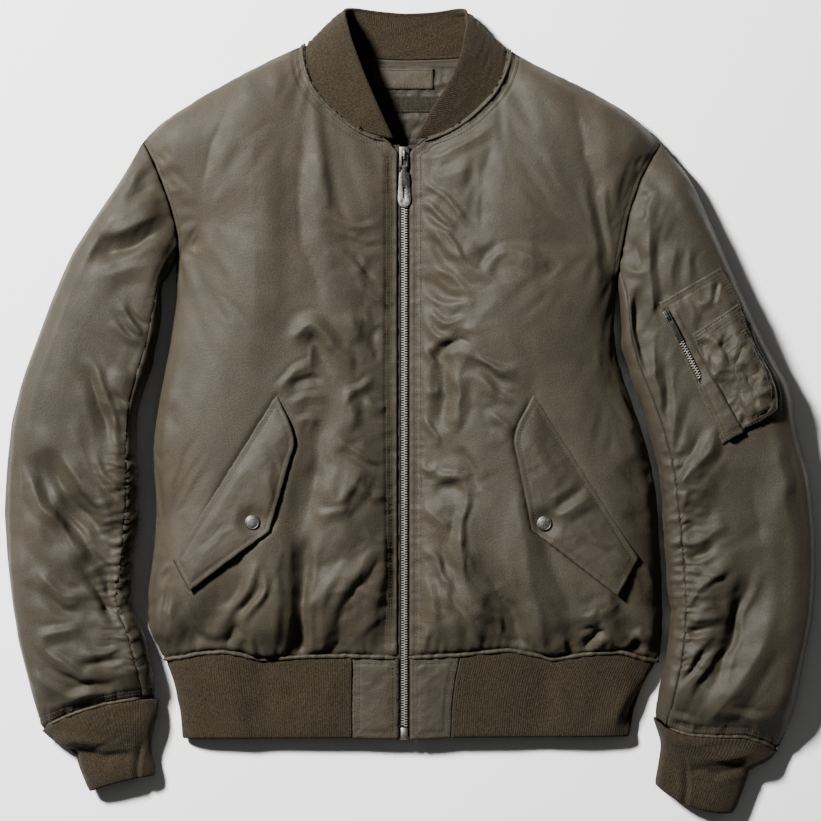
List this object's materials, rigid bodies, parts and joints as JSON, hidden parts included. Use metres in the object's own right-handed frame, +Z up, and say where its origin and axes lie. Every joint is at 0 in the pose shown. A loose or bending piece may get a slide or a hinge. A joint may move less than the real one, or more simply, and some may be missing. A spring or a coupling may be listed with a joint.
{
  "type": "padded flight jacket",
  "caption": "Padded nylon flight jacket laid flat, zipped up, with a knitted rib collar, cuffs and hem, slanted flap pockets and a sleeve pocket with a zip.",
  "frame": {"origin": "the middle of the jacket's footprint, on the surface that it lies on", "axes": "+Z up out of the surface, front of the jacket up; +Y towards the collar; the wearer's right arm towards -X"},
  "size_m": [0.7823, 0.7763, 0.054],
  "materials": {
    "nylon": "satin twill",
    "rib": "matte rib knit",
    "lining": "satin",
    "tape": "matte woven",
    "zip_metal": "aged",
    "snap_metal": "aged"
  },
  "bodies": {
    "jacket": {"back": "nylon", "care_label": "lining", "collar": "rib", "cuff_left": "rib", "cuff_right": "rib", "front_left": "nylon", "front_right": "nylon", "hem_patch_left": "nylon", "hem_patch_right": "nylon", "hem_rib": "rib", "neck_label": "lining", "neck_lining": "lining", "pen_pocket_back": "nylon", "pen_pocket_front": "nylon", "pocket_flap_left": "nylon", "pocket_flap_right": "nylon", "sleeve_pocket": "nylon", "sleeve_top_left": "nylon", "sleeve_top_right": "nylon", "sleeve_under_left": "nylon", "sleeve_under_right": "nylon", "sleeve_zip_chain": "zip_metal", "sleeve_zip_slider": "zip_metal", "snap_left": "snap_metal", "snap_right": "snap_metal", "zip_box": "zip_metal", "zip_chain": "zip_metal", "zip_slider": "zip_metal", "zip_tape_left": "tape", "zip_tape_right": "tape"},
    "zip_pull": {"zip_pull": "zip_metal"},
    "sleeve_zip_pull": {"sleeve_zip_pull": "zip_metal"}
  },
  "joints": [
    {"name": "zip_pull_hinge", "type": "hinge", "parent": "jacket", "child": "zip_pull", "pos_m": [-0.006, 0.244, 0.03281], "axis": [-1, 0, 0], "range_deg": [0, 165]},
    {"name": "sleeve_zip_pull_hinge", "type": "hinge", "parent": "jacket", "child": "sleeve_zip_pull", "pos_m": [0.24554, 0.09012, 0.05136], "axis": [-0.8867, -0.4623, 0], "range_deg": [0, 150]}
  ]
}
